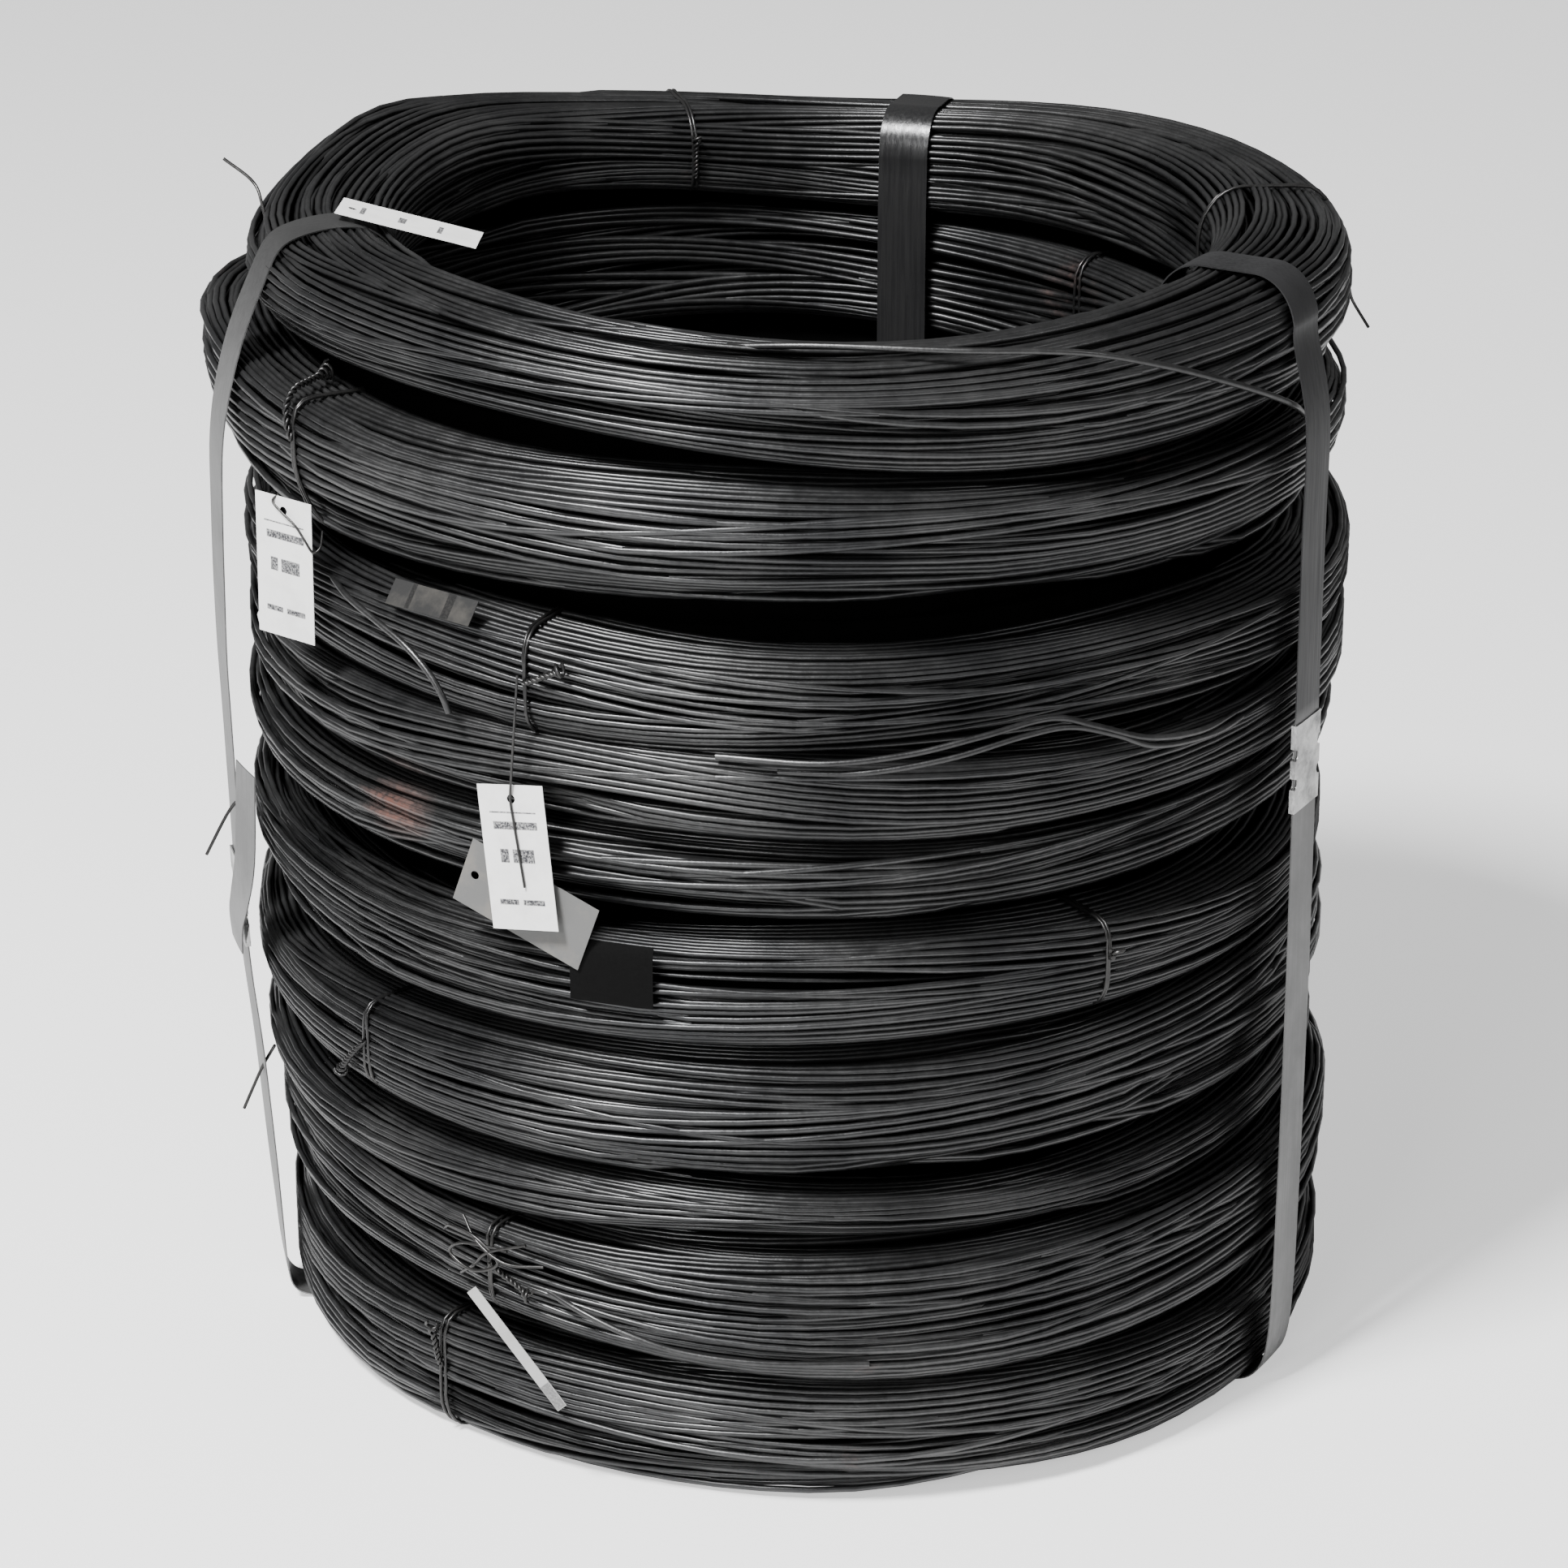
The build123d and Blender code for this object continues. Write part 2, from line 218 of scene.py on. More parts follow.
def ribbon_turns(lay, draw):
    """Ribbons of a few turns each that lie over the first layer, cross each other and dive under again."""
    start = 0.0
    layer = 0
    while start < lay.length:
        turns = draw.randint(3, 6)
        middle = start + turns * wire_r
        swing = ripple(turn_angles, {1: 5.5 * MM, 2: 6.0 * MM, 3: 4.2 * MM, 4: 2.6 * MM, 6: 1.0 * MM}, draw)
        fan = 1.36 + 0.2 * ripple(turn_angles, {1: 1.0, 3: 1.0, 4: 0.8}, draw)
        dive = ripple(turn_angles, {1: 1.2, 2: 1.3, 3: 1.0, 5: 0.5}, draw)
        over = (1.95 + 1.25 * layer) * MM
        tone_and_shade = draw.uniform(0.85, 1.12)
        for turn in range(turns):
            own = ripple(turn_angles, {3: 0.35 * MM, 7: 0.3 * MM, 11: 0.12 * MM}, draw)
            lag = ripple(turn_angles, {2: 0.35, 4: 0.25}, draw)
            shade = tone_and_shade * draw.uniform(0.85, 1.15)
            if not lay.shows(middle):
                continue
            along = middle + swing + own + (turn - (turns - 1) / 2) * 2 * wire_r * fan
            sunk = np.clip(dive + lag - 0.45, 0, 1.2) * 8.0 * MM
            yield along, over + sunk, shade
        start += turns * 2 * wire_r * draw.uniform(0.8, 1.4)
        layer = (layer + 1) % 3


def crossing_turns(lay, draw):
    """Single turns that have slipped and lie slantwise over the others, mostly on the outside."""
    face = lay.marks[6] - lay.marks[5]
    for slip in range(5):
        start = lay.marks[5] + face * draw.uniform(0.05, 0.95)
        along = start + ripple(turn_angles, {1: 9.0 * MM, 2: 9.0 * MM, 3: 6.0 * MM, 5: 2.0 * MM}, draw)
        hidden = ripple(turn_angles, {1: 1.0, 2: 1.0, 3: 0.8}, draw)
        yield along, 1.9 * MM + np.clip(hidden - 0.1, 0, 1.0) * 9.0 * MM, draw.uniform(0.85, 1.2)


def wind(lay):
    """Spins a small ring of vertices into every turn, and lets each turn wander round the coil."""
    draw = random.Random(100 + lay.number)
    turns = [(under_sides, *turn) for turn in under_turns(lay, draw)]
    turns += [(wire_sides, *turn) for turn in (*ribbon_turns(lay, draw), *crossing_turns(lay, draw))]
    shape = bmesh.new()
    turn_of = shape.verts.layers.int.new("turn")
    tone_and_shade_of = shape.verts.layers.float.new("tone_and_shade")
    upright = Matrix.Rotation(pi / 2, 4, "X")
    ways = []
    for number, (sides, along, depth, tone_and_shade) in enumerate(turns):
        reach, height = lay.section(along, depth)
        at = Matrix.Translation((reach[0], 0, height[0]))
        ring = bmesh.ops.create_circle(shape, segments=sides, radius=wire_r, matrix=at @ upright)
        for corner in ring["verts"]:
            corner[turn_of] = number
            corner[tone_and_shade_of] = tone_and_shade
        ways.append((reach - reach[0], height - height[0]))
    # Under the turns lies a core, a box and an outline 13.5 mm deep, with the second material: painted shade,
    # near black.
    top = lay.high + (7.0 if lay.number > 1 else -13.0) * MM
    bottom = lay.low + (-7.0 if lay.number < len(seam_tilts) - 1 else 13.0) * MM
    near, far = lay.inner + 28 * MM, lay.outer - 48 * MM
    box = [(near, bottom), (near, top), (far, top), (far, bottom)]
    deep = [lay.section(along, core_depth) for along in np.linspace(0, lay.length, 19)[:-1]]
    for outline in (box, deep):
        shade_core = bmesh.ops.create_circle(shape, segments=len(outline), radius=1.0, matrix=upright)
        for corner, (reach, height) in zip(shade_core["verts"], outline):
            corner.co = (reach, 0, height)
            corner[turn_of] = -1
            corner[tone_and_shade_of] = 0.0
    bmesh.ops.spin(
        shape, geom=shape.verts[:] + shape.edges[:], cent=(0, 0, 0), axis=(0, 0, 1), dvec=(0, 0, 0),
        angle=2 * pi, steps=stations, use_merge=True,
    )
    flat = np.array([v.co[:] for v in shape.verts])
    number = np.array([v[turn_of] for v in shape.verts])
    angle = np.mod(np.arctan2(flat[:, 1], flat[:, 0]), 2 * pi)
    station = np.rint(angle / (2 * pi / stations)).astype(int) % stations
    reach, height = np.hypot(flat[:, 0], flat[:, 1]), flat[:, 2]
    out = np.array([w[0] for w in ways] + [np.zeros(stations)])
    up = np.array([w[1] for w in ways] + [np.zeros(stations)])
    reach = reach + out[number, station]
    height = height + up[number, station]
    x, y, z = lay.place(reach, height, angle)
    for corner, spot in zip(shape.verts, np.stack([x, y, z], axis=1)):
        corner.co = spot
    bmesh.ops.recalc_face_normals(shape, faces=shape.faces[:])
    for face in shape.faces:
        face.smooth = True
        face.material_index = int(face.verts[0][turn_of] == -1)
    return shape


def as_piece(shape, name, *finishes):
    """Makes a bmesh into an object of the scene, riding on the one body."""
    mesh = bpy.data.meshes.new(name)
    shape.to_mesh(mesh)
    shape.free()
    piece = bpy.data.objects.new(name, mesh)
    bpy.context.scene.collection.objects.link(piece)
    for finish in finishes:
        mesh.materials.append(finish)
    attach(piece, "root")
    return piece


class Finish:
    """A material's node tree, with short calls for adding and joining nodes."""

    def __init__(self, name, tree=None):
        if tree is None:
            self.material = bpy.data.materials.new(name)
            self.material.use_nodes = True
            tree = self.material.node_tree
            self.shader = tree.nodes["Principled BSDF"]
        self.tree = tree

    def add(self, kind, inputs=None, **settings):
        node = self.tree.nodes.new(kind)
        for key, value in settings.items():
            setattr(node, key, value)
        for key, value in (inputs or {}).items():
            self.feed(node.inputs[key], value)
        return node

    def feed(self, socket, value):
        if isinstance(value, bpy.types.NodeSocket):
            self.tree.links.new(value, socket)
        elif isinstance(value, bpy.types.Node):
            self.tree.links.new(next(s for s in value.outputs if s.enabled), socket)
        else:
            socket.default_value = value

    def set(self, **inputs):
        for key, value in inputs.items():
            self.feed(self.shader.inputs[key.replace("_", " ")], value)

    def sums(self, operation, *values):
        node = self.add("ShaderNodeMath", operation=operation)
        for place, value in enumerate(values):
            self.feed(node.inputs[place], value)
        return node

    def ramp(self, value, low, high, start=0.0, end=1.0):
        return self.add("ShaderNodeMapRange", {0: value, 1: low, 2: high, 3: start, 4: end})

    def mix(self, share, first, second):
        node = self.add("ShaderNodeMix", {0: share}, data_type="RGBA")
        for place, colour in ((6, first), (7, second)):
            self.feed(node.inputs[place], (*colour, 1) if isinstance(colour, tuple) else colour)
        return node.outputs[2]

    def relief(self, strength, depth, height):
        bump = self.add("ShaderNodeBump", {"Strength": strength, "Distance": depth, "Height": height})
        self.set(Normal=bump)

    def noise(self, scale, detail=3.0, rough=0.55, vector=None):
        inputs = {"Scale": scale, "Detail": detail, "Roughness": rough}
        if vector is None:
            vector = self.add("ShaderNodeTexCoord").outputs["Object"]
        inputs["Vector"] = vector
        return self.add("ShaderNodeTexNoise", inputs).outputs["Fac"]

    def shared(self, group, **inputs):
        node = self.add("ShaderNodeGroup", node_tree=group)
        for key, value in inputs.items():
            self.feed(node.inputs[key.replace("_", " ")], value)
        return node.outputs[0]


def grey(value):
    return (value, value, value)


def shared_effect(name, inputs, output):
    """An empty node group with named number inputs and one output."""
    tree = bpy.data.node_groups.new(name, "ShaderNodeTree")
    for key, value in inputs.items():
        tree.interface.new_socket(key, in_out="INPUT", socket_type="NodeSocketFloat").default_value = value
    tree.interface.new_socket(output, in_out="OUTPUT", socket_type="NodeSocketFloat")
    return Finish(name, tree), tree.nodes.new("NodeGroupInput"), tree.nodes.new("NodeGroupOutput")


bloom, bloom_in, bloom_out = shared_effect("blotches", {"Scale": 20.0, "Start": 0.5, "Full": 0.7}, "Mask")
spread = bloom.noise(bloom_in.outputs["Scale"], 6.0, 0.65)
bloom.feed(bloom_out.inputs[0], bloom.ramp(spread, bloom_in.outputs["Start"], bloom_in.outputs["Full"]))
blotches = bloom.tree
# One spot on the left, more than halfway up, has rusted through its scale.
rust_spot = (-0.229, -0.240, 0.406)
rust_brown = (0.13, 0.045, 0.028)


def wire_finish(name, scale_dark, worn_grey, turn_tone_and_shade=False):
    """Black annealing scale, thin and grey where turns have rubbed, with a little rust."""
    wire = Finish(name)
    tone_and_shade = 0.95
    if turn_tone_and_shade:
        tone_and_shade = wire.add("ShaderNodeAttribute", attribute_name="tone_and_shade").outputs["Fac"]
    rubbed = wire.shared(blotches, Scale=9.0, Start=0.35, Full=0.72)
    fine = wire.shared(blotches, Scale=260.0, Start=0.3, Full=0.75)
    body = wire.mix(rubbed, scale_dark, worn_grey)
    # The per-turn attribute gives random tone to the ribbons and painted shade to the darker under turns.
    shade = wire.sums("MULTIPLY", tone_and_shade, wire.ramp(fine, 0, 1, 0.72, 1.12))
    body = wire.mix(shade, grey(0.002), body)
    rust = wire.shared(blotches, Scale=11.0, Start=0.66, Full=0.78)
    rust = wire.sums("MULTIPLY", wire.sums("MULTIPLY", rust, fine), 0.55)
    place = wire.add("ShaderNodeTexCoord").outputs["Object"]
    away = wire.add("ShaderNodeVectorMath", {0: place, 1: rust_spot}, operation="DISTANCE").outputs["Value"]
    spot = wire.sums("MULTIPLY", wire.ramp(away, 0.034, 0.008), wire.ramp(fine, 0.1, 0.6, 0.25, 0.8))
    rust = wire.sums("MAXIMUM", rust, spot)
    body = wire.mix(wire.sums("MULTIPLY", rust, tone_and_shade), body, rust_brown)
    rough = wire.ramp(wire.noise(90.0, 4.0), 0.3, 0.7, 0.28, 0.42)
    wire.set(Base_Color=body, Metallic=wire.ramp(rust, 0, 0.5, 0.82, 0.2), Roughness=rough)
    wire.relief(0.25, 0.0004, wire.noise(520.0, 2.0))
    return wire.material


black_wire = wire_finish("black_annealed_wire", (0.038, 0.0385, 0.04), grey(0.102), turn_tone_and_shade=True)
bent_wire = wire_finish("loose_black_wire", (0.045, 0.045, 0.046), grey(0.1))

# The turns deep inside, which no light reaches, are one plain core painted near black as shade.
shade_core = Finish("painted_shade_core")
shade_core.set(Base_Color=shade_core.mix(shade_core.noise(60.0), grey(0.0008), grey(0.003)))
shade_core.set(Roughness=0.95, Specular_IOR_Level=0.0)

lays = {}
for number in range(1, len(seam_tilts)):
    lays[number] = Lay(number)
    coil = as_piece(wind(lays[number]), f"coil_{number}_turns", black_wire, shade_core.material)
    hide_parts(f"coil_{number}")

# ------------------------------------------------------------------ tie wires
# Each coil is held by doubled ties of thin black wire round its section, drawn tight and
# twisted together on the outside. The ends of each twist are left splayed.
tie_r = 1.05 * MM
tie_sides = 6
# For a coil and a tie's azimuth: which way its twist points, in degrees, and how long it is.
knot_ways = {
    (1, 6): (300, 20), (1, 106): (90, 30), (2, 216): (250, 52), (3, 243): (330, 30), (6, 303): (275, 8),
    (7, 221): (130, 40), (9, 236): (20, 34), (10, 228): (262, 26),
}


def tube(name, runs, radius, finish, sides=tie_sides, closed=()):
    """Wires of one thickness: each run is a list of points that the wire follows."""
    curve = bpy.data.curves.new(name, "CURVE")
    curve.dimensions = "3D"
    curve.bevel_depth = radius
    curve.bevel_resolution = (sides - 4) // 2
    curve.use_fill_caps = True
    for number, run in enumerate(runs):
        line = curve.splines.new("POLY")
        line.points.add(len(run) - 1)
        for point, spot in zip(line.points, run):
            point.co = (*spot, 1)
        line.use_cyclic_u = number in closed
    curve.materials.append(finish)
    piece = bpy.data.objects.new(name, curve)
    bpy.context.scene.collection.objects.link(piece)
    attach(piece, "root")
    return piece


def tie_angles(number):
    """Where the ties of a coil go round it, read from its solids."""
    centre = lays[number].centre
    wires = nodes[f"coil_{number}_ties"].data.vertices
    spread = sorted({round(atan2(v.co.y - centre[1], v.co.x - centre[0]), 3) for v in wires})
    groups = [[spread[0]]]
    for angle in spread[1:]:
        if angle - groups[-1][-1] > 0.15:
            groups.append([])
        groups[-1].append(angle)
    return [(group[0] + group[-1]) / 2 for group in groups]


def knot_way(number, angle, draw):
    """Which way a tie's twist points and how long it is, drawn where it isn't given."""
    for (coil, azimuth), way in knot_ways.items():
        off = (azimuth - np.degrees(angle) + 180) % 360 - 180
        if coil == number and abs(off) < 6:
            return way
    return draw.uniform(0, 360), draw.uniform(16, 34)


def twist(lay, angle, along, heading, length, turns, start_depth):
    """Two strands wound round each other over the skin of a coil, splayed at their ends."""
    strands = [[], []]
    count = max(12, int(turns * 9))
    for step in range(count + 1):
        share = step / count
        run = length * share
        splay = 1.0 + 3.2 * max(0.0, share - 0.8) / 0.2
        depth = start_depth - 2.2 * MM * sin(min(share * 3, 1.0) * pi / 2) - 3.0 * MM * share ** 3
        for side, strand in enumerate(strands):
            phase = 2 * pi * turns * share + pi * side
            across = tie_r * splay * sin(phase)
            lifted = depth - tie_r * splay * cos(phase)
            way = run * cos(heading) - across * sin(heading)
            down = run * sin(heading) + across * cos(heading)
            reach, height = lay.section(along + down, lifted)
            strand.append(lay.place(reach, height, angle + way / lay.outer))
    return strands


tie_wire = wire_finish("tie_wire", (0.035, 0.035, 0.036), (0.085, 0.083, 0.08))
for number, lay in lays.items():
    draw = random.Random(500 + number)
    runs, closed = [], []
    for angle in tie_angles(number):
        heading, length = knot_way(number, angle, draw)
        for side in (-1.25, 1.25):
            sway = [draw.uniform(-2.0, 2.0) for bend in range(6)]
            loop = []
            for step in range(44):
                along = lay.length * step / 44
                off = side + sum(sway[k] * sin(2 * pi * (k // 2 + 1) * step / 44 + k) for k in range(4)) * 0.5
                reach, height = lay.section(along, 0.9 * MM + draw.uniform(-0.3, 0.3) * MM)
                loop.append(lay.place(reach, height, angle + off * MM / reach))
            closed.append(len(runs))
            runs.append(loop)
        middle = (lay.marks[5] + lay.marks[6]) / 2
        if number == 1:
            middle = (lay.marks[0] + lay.marks[2]) / 2
        runs += twist(lay, angle, middle, radians(heading), length * MM, length / 6.5, -0.3 * MM)
    ties = tube(f"coil_{number}_tie_wire", runs, tie_r, tie_wire, closed=closed)
    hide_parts(f"coil_{number}_ties")

# ------------------------------------------------------------------ straps
# Three flat steel straps, 31.75 by 0.79 mm, are drawn over the outside, across the top and
# down the bore. They are painted and waxed, and lighter grey where the coat has rubbed. The back
# strap is near black all over; the left and right straps are darker above a given height.


def strap_finish(name, dark, worn, wear, gloss, change=None):
    """Painted steel, streaked and rubbed; change is a height, a soft edge and a darker colour above it."""
    strap = Finish(name)
    place = strap.add("ShaderNodeTexCoord").outputs["Object"]
    drawn = strap.add("ShaderNodeMapping", {"Vector": place, "Scale": (1.0, 1.0, 0.035)})
    streaks = strap.noise(420.0, 3.0, 0.6, drawn)
    patches = strap.shared(blotches, Scale=16.0, Start=0.36, Full=0.66)
    rubbed = strap.ramp(patches, 0, 1, wear * 0.4, wear)
    rubbed = strap.sums("MULTIPLY", strap.ramp(streaks, 0.35, 0.7), rubbed)
    rubbed = strap.sums("ADD", rubbed, strap.ramp(patches, 0, 1, wear * 0.25, wear * 0.6))
    body = strap.mix(rubbed, dark, worn)
    if change:
        height, soft, upper = change
        up = strap.add("ShaderNodeSeparateXYZ", {0: place}).outputs["Z"]
        streaked = strap.mix(streaks, upper, tuple(1.9 * channel for channel in upper))
        body = strap.mix(strap.ramp(up, height - soft, height + soft), body, streaked)
    strap.set(Base_Color=body, Metallic=strap.ramp(rubbed, 0, 1, 0.35, 0.85))
    strap.set(Roughness=strap.ramp(streaks, 0.3, 0.7, gloss, gloss + 0.16))
    strap.relief(0.3, 0.0005, streaks)
    return strap.material


def refinish(node, finish):
    """Gives a carried-over CAD piece its material."""
    mesh = nodes[node].data
    mesh.materials.clear()
    mesh.materials.append(finish)


strap_half, strap_thick = 15.875 * MM, 0.79 * MM


def smoothed(knots, steps=8):
    """A line drawn smoothly through its points."""
    ends = [2 * knots[0] - knots[1]] + knots + [2 * knots[-1] - knots[-2]]
    line = []
    for k in range(1, len(ends) - 2):
        a, b, c, d = ends[k - 1 : k + 3]
        for step in range(steps):
            t = step / steps
            square, cube = 2 * a - 5 * b + 4 * c - d, 3 * b - a - 3 * c + d
            line.append(0.5 * (2 * b + (c - a) * t + square * t * t + cube * t ** 3))
    return line + [knots[-1]]


def upright(azimuth, *spots):
    """Points of a strap that stays at one azimuth, untwisted, given as reach and height."""
    return [(azimuth, reach, height, 0) for reach, height in spots]


def over_top(azimuth, stand_off):
    """Points of a strap drawn over the top coil, from its outside to its bore."""
    lay = lays[1]
    points = []
    for along in np.linspace(lay.marks[5] + 4 * MM, lay.marks[2] - 8 * MM, 14):
        reach, height = lay.section(along, -stand_off)
        x, y, z = lay.place(reach, height, radians(azimuth))
        points.append((azimuth, hypot(x, y) / MM, z / MM, 0))
    return points


def drape(name, route, finish, closed=True):
    """A flat strap through points given as azimuth, reach, height and how far it is twisted there."""
    line = smoothed([Vector(point) for point in route], 5)
    count = len(line) - 1

    def spot(step):
        azimuth, reach, height, turn = line[step]
        return Vector((reach * cos(radians(azimuth)), reach * sin(radians(azimuth)), height)) * MM

    strip = bmesh.new()
    bmesh.ops.create_grid(strip, x_segments=4, y_segments=count, size=1.0)
    for corner in strip.verts:
        across, step = corner.co.x, round((corner.co.y + 1) / 2 * count)
        run = spot(min(count, step + 1)) - spot(max(0, step - 1))
        if closed and step in (0, count):
            run = spot(1) - spot(count - 1)
        faced = radians(line[step][0] + line[step][3])
        side = Vector((-sin(faced), cos(faced), 0))
        face = side.cross(run).normalized()
        corner.co = spot(step) + side * across * strap_half + face * 0.3 * MM * (1 - across * across)
    if closed:
        bmesh.ops.remove_doubles(strip, verts=strip.verts[:], dist=0.02 * MM)
    bmesh.ops.recalc_face_normals(strip, faces=strip.faces[:])
    bmesh.ops.solidify(strip, geom=strip.faces[:], thickness=strap_thick)
    bmesh.ops.recalc_face_normals(strip, faces=strip.faces[:])
    for face in strip.faces:
        face.smooth = True
    for edge in strip.edges:
        edge.smooth = edge.calc_face_angle(0.0) < radians(40)
    piece = as_piece(strip, name, finish)
    return piece


# The left strap slants across the top coil and stands off the coils, turned a little forwards.
left_route = upright(190, (280, 0.9), (304, 1.4), (317, 8)) + [
    (190, 321.5, 25, 2), (190, 324, 60, 4), (190, 326.5, 100, 6), (189.5, 331, 170, 7), (189, 336, 225, 7),
    (188.8, 338.2, 269, 7), (188.8, 339.5, 330, 7), (190, 341, 390, 6), (191.5, 342.4, 431, 5),
    (194, 343.6, 482, 4), (196.5, 344.8, 533, 2), (199.3, 346.2, 580, 0), (200.3, 342.0, 614, 0),
    (200.6, 333, 646, 0), (199.8, 319, 674, 0), (198, 307, 689.5, 0), (196, 292, 694, 0),
    (193, 268, 693.6, 0), (191, 249, 689.5, 0), (190.4, 237, 681, 0),
]
left_route += upright(
    190, (230.5, 668), (229, 640), (228, 480), (226.6, 250), (225.4, 60), (227.5, 18), (237, 4), (250, 1.0),
    (280, 0.9),
)
left_end = [
    (190.2, 341.5, 240, 7), (192.5, 342.6, 262, 8), (196.0, 342.5, 285, 8), (198.6, 340.5, 320, 8),
    (199.2, 338.5, 376, 7),
]
left_coat = strap_finish("strap_left_coat", grey(0.06), grey(0.26), 0.7, 0.36, (0.665, 0.04, grey(0.03)))
strap_left = drape("strap_left_band", left_route, left_coat)
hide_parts("strap_left")
drape("strap_left_end", left_end, left_coat, closed=False)

# The back strap is pulled down hard where it has flattened the top coil.
back_route = upright(
    72, (290, 0.8), (316, 1.4), (329, 9), (334.4, 26), (335.7, 60), (337.2, 120), (339.1, 200), (339.8, 269),
    (339.4, 360), (338.8, 450), (338.2, 540), (336.8, 588), (331, 616),
)
back_route += over_top(72, 1.2 * MM)
back_route += upright(
    72, (232.0, 610), (232.8, 500), (235.6, 320), (236.8, 120), (239, 40), (243, 14), (255, 2.4), (290, 0.8),
)
back_end = upright(72, (341.2, 330), (341.3, 360), (341.0, 392), (342.5, 412))
back_coat = strap_finish("strap_back_coat", (0.012, 0.012, 0.013), grey(0.06), 0.5, 0.2)
strap_back = drape("strap_back_band", back_route, back_coat)
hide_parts("strap_back")
drape("strap_back_end", back_end, back_coat, closed=False)

# The right strap lies close over the top coil. Above 437 mm, near the seal, it is darker; below, it is
# lighter.
right_route = upright(
    -30, (290, 0.8), (318, 1.4), (333, 9), (340.5, 26), (343, 60), (343.6, 120), (343.4, 250), (341.9, 375),
    (341.4, 440), (340.4, 540), (339.8, 610),
)
right_route += over_top(-30, 1.2 * MM)
right_route += upright(
    -30, (234.4, 600), (233.9, 500), (233.6, 320), (233.7, 120), (236, 40), (241, 14), (254, 2.4), (290, 0.8),
)
right_change = (0.437, 0.004, (0.028, 0.028, 0.029))
right_coat = strap_finish("strap_right_coat", grey(0.09), grey(0.27), 0.7, 0.38, right_change)
strap_right = drape("strap_right_band", right_route, right_coat)
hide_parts("strap_right")

# ------------------------------------------------------------------ seals
# Each strap's ends are joined in a sleeve of bright zinc-coated sheet, crimped through both
# layers by the sealer's jaws.
zinc = Finish("crimped_zinc")
spangle = zinc.shared(blotches, Scale=70.0, Start=0.3, Full=0.7)
grime = zinc.shared(blotches, Scale=38.0, Start=0.5, Full=0.72)
bright = zinc.mix(spangle, grey(0.42), (0.72, 0.72, 0.71))
zinc.set(Base_Color=zinc.mix(grime, bright, grey(0.1)), Metallic=0.75)
zinc.set(Roughness=zinc.ramp(spangle, 0, 1, 0.42, 0.28))
zinc.relief(0.5, 0.0008, zinc.noise(260.0, 3.0))
for side in ("right", "back"):
    refinish(f"seal_{side}", zinc.material)

# The left seal has turned with its strap.
low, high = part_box("seal_left")
seal_middle = (Vector(low) + Vector(high)) / 2
turned_seal = bmesh.new()
turned_seal.from_mesh(nodes["seal_left"].data)
bmesh.ops.remove_doubles(turned_seal, verts=turned_seal.verts[:], dist=0.01 * MM)
seal_turn = Matrix.Rotation(radians(6), 3, "Z")
bmesh.ops.rotate(turned_seal, verts=turned_seal.verts[:], cent=seal_middle, matrix=seal_turn)
bmesh.ops.translate(turned_seal, verts=turned_seal.verts[:], vec=Vector((-6.4, 6.0, 0)) * MM)
seal_left = as_piece(turned_seal, "seal_left_turned", zinc.material)
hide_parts("seal_left")

# ------------------------------------------------------------------ tags
# Stiff paper tags, printed in grey and wired or tucked on by hand. One lies over the bore's
# edge on a strap, one hangs in front over a darker one, and two are pushed among the turns.


def card_axes(node):
    """A flat card's middle, its across, along and facing directions, and its size."""
    points = np.array([v.co[:] for v in nodes[node].data.vertices])
    corners = np.unique(np.round(points, 5), axis=0)
    axes = np.linalg.svd(corners - corners.mean(axis=0))[2]
    along, across = axes[0], axes[1]
    if along[2] < 0:
        along = -along
    facing = np.cross(across, along)
    if facing[1] > 0:
        across, facing = -across, -facing
    frame_rows = np.array([across, along, facing])
    local = points @ frame_rows.T
    middle = (local.min(axis=0) + local.max(axis=0)) / 2 @ frame_rows
    return middle, frame_rows, local.max(axis=0) - local.min(axis=0)


def paper_finish(node, white, bars, ink, dirt):
    """Paper with plain grey bars where a tag is printed. A bar is given in shares of the tag:
    across, along, half width, half height."""
    middle, rows, size = card_axes(node)
    paper = Finish(f"{node}_paper")
    turned = Matrix(rows.T.tolist()).to_euler()
    place = paper.add("ShaderNodeTexCoord").outputs["Object"]
    placing = {"Vector": place, "Location": tuple(middle), "Rotation": tuple(turned)}
    local = paper.add("ShaderNodeMapping", placing, vector_type="TEXTURE")
    split = paper.add("ShaderNodeSeparateXYZ", {0: local})
    soil = paper.shared(blotches, Scale=45.0, Start=0.48, Full=0.8)
    body = paper.mix(paper.sums("MULTIPLY", soil, dirt), white, (0.22, 0.2, 0.17))
    smear = paper.ramp(paper.noise(900.0, 2.0), 0.3, 0.6, 0.55, 1.0)
    for across, along, half_width, half_height in bars:
        inside = None
        for axis, at, half, span in (("X", across, half_width, size[0]), ("Y", along, half_height, size[1])):
            off = paper.sums("ABSOLUTE", paper.sums("SUBTRACT", split.outputs[axis], at * span))
            edge = paper.ramp(off, half * span, half * span - 0.0005)
            inside = edge if inside is None else paper.sums("MULTIPLY", inside, edge)
        body = paper.mix(paper.sums("MULTIPLY", inside, smear), body, ink)
    paper.set(Base_Color=body, Roughness=0.78, Specular_IOR_Level=0.25)
    paper.relief(0.2, 0.0003, paper.noise(1400.0, 2.0))
    return paper.material


label_bars = [
    (0, 0.31, 0.36, 0.008), (0.02, 0.22, 0.34, 0.03), (-0.19, 0.01, 0.07, 0.05), (0.1, 0.01, 0.17, 0.05),
    (-0.2, -0.31, 0.15, 0.022), (0.18, -0.31, 0.17, 0.022),
]
strip_bars = [(0, 0.33, 0.2, 0.02), (0, 0.05, 0.16, 0.03), (0, -0.22, 0.2, 0.02)]
groove_bars = [(0, 0.25, 0.5, 0.03), (0, -0.2, 0.5, 0.05)]
tail_bar = [(0, -0.4, 0.5, 0.1)]
grey_ink = (0.035, 0.035, 0.04)
